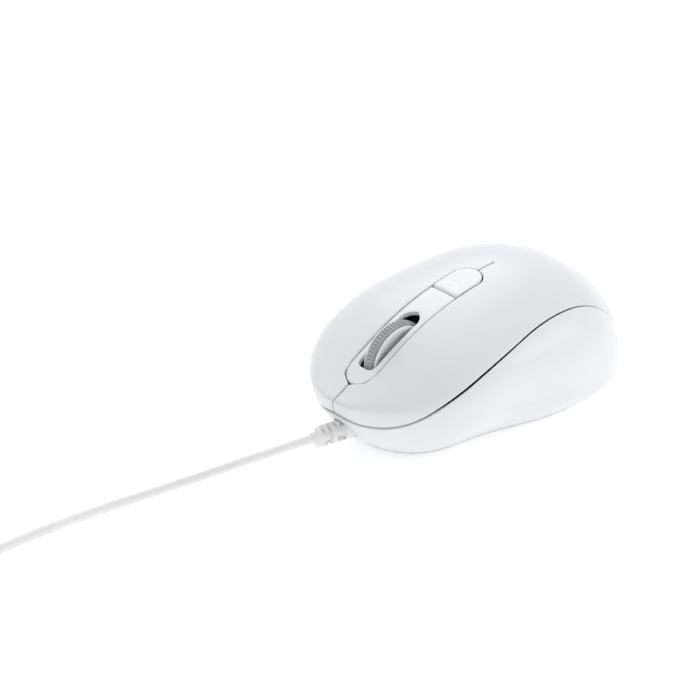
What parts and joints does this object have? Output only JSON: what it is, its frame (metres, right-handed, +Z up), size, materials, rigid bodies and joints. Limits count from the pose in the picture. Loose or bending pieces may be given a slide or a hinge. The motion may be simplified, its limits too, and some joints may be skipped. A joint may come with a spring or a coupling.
{
  "type": "computer mouse",
  "caption": "Compact corded computer mouse with a ribbed scroll wheel, two flexing keys, a small centre button and a coiled cord with its plug.",
  "frame": {"origin": "on the surface the mouse stands on, under the middle of its body", "axes": "+Z up, -Y towards the cable end, +Y towards the palm end, +X towards the thumb side of a right hand"},
  "size_m": [0.1169, 0.2354, 0.0402],
  "materials": {
    "shell": "satin white moulded",
    "case": "smooth white moulded",
    "tyre": "grey ribbed rubber",
    "cord": "off-white flexible jacket",
    "glide": "dark grey low-friction pad",
    "board": "green solder-masked board",
    "black": "black moulded",
    "clear": "clear moulded",
    "steel": "nickel-plated steel"
  },
  "bodies": {
    "mouse_base": {"bottom_case": "case", "palm_cover": "shell", "wheel_bezel": "case", "small_button_switch": "black", "foot_front": "glide", "foot_rear": "glide", "base_label": "shell", "screw_front": "steel", "screw_rear_left": "steel", "screw_rear_right": "steel", "wheel_guide": "black", "scroll_encoder": "black", "middle_switch": "black", "left_switch": "black", "right_switch": "black", "main_board": "board", "key_board": "board", "board_link": "black", "optical_sensor": "black", "optic_lens": "clear", "lamp": "clear", "lamp_clip": "black", "controller_chip": "black", "capacitor": "black", "lead_socket": "case", "inner_lead": "cord", "strain_relief": "cord", "cord_lead": "cord", "cord_coil": "cord", "coil_tie": "black", "cord_tail": "cord", "plug_body": "cord", "plug_shell": "steel", "plug_tongue": "case"},
    "left_key": {"left_key": "shell"},
    "right_key": {"right_key": "shell"},
    "left_plunger": {"left_plunger": "steel"},
    "right_plunger": {"right_plunger": "steel"},
    "small_button": {"small_button": "case", "small_button_plunger": "steel"},
    "wheel_carriage": {"wheel_yoke": "black", "middle_plunger": "steel"},
    "wheel": {"wheel_hub": "case", "wheel_tyre": "tyre"}
  },
  "joints": [
    {"name": "left_click", "type": "hinge", "parent": "mouse_base", "child": "left_key", "pos_m": [0, 0.012, 0.0385], "axis": [1, 0, 0], "range_deg": [0, 0.6], "stiffness_Nm_per_rad": 3, "springref_deg": -0.23},
    {"name": "right_click", "type": "hinge", "parent": "mouse_base", "child": "right_key", "pos_m": [0, 0.012, 0.0385], "axis": [1, 0, 0], "range_deg": [0, 0.6], "stiffness_Nm_per_rad": 3, "springref_deg": -0.23},
    {"name": "left_plunger_travel", "type": "slide", "parent": "mouse_base", "child": "left_plunger", "axis": [0, 0, -1], "range_m": [0, 0.0005]},
    {"name": "right_plunger_travel", "type": "slide", "parent": "mouse_base", "child": "right_plunger", "axis": [0, 0, -1], "range_m": [0, 0.0005]},
    {"name": "small_button_press", "type": "slide", "parent": "mouse_base", "child": "small_button", "axis": [0, 0, -1], "range_m": [0, 0.0004], "stiffness_N_per_m": 1500, "springref_m": -0.0001},
    {"name": "wheel_press", "type": "slide", "parent": "mouse_base", "child": "wheel_carriage", "axis": [0, 0, -1], "range_m": [0, 0.0005], "stiffness_N_per_m": 1800, "springref_m": -0.0002},
    {"name": "wheel_spin", "type": "hinge", "parent": "wheel_carriage", "child": "wheel", "pos_m": [0, -0.0266, 0.0245], "axis": [1, 0, 0], "continuous": true}
  ],
  "couplings": [
    {"joint": "left_plunger_travel", "follows": "left_click", "m_per_rad": 0.043},
    {"joint": "right_plunger_travel", "follows": "right_click", "m_per_rad": 0.043}
  ]
}
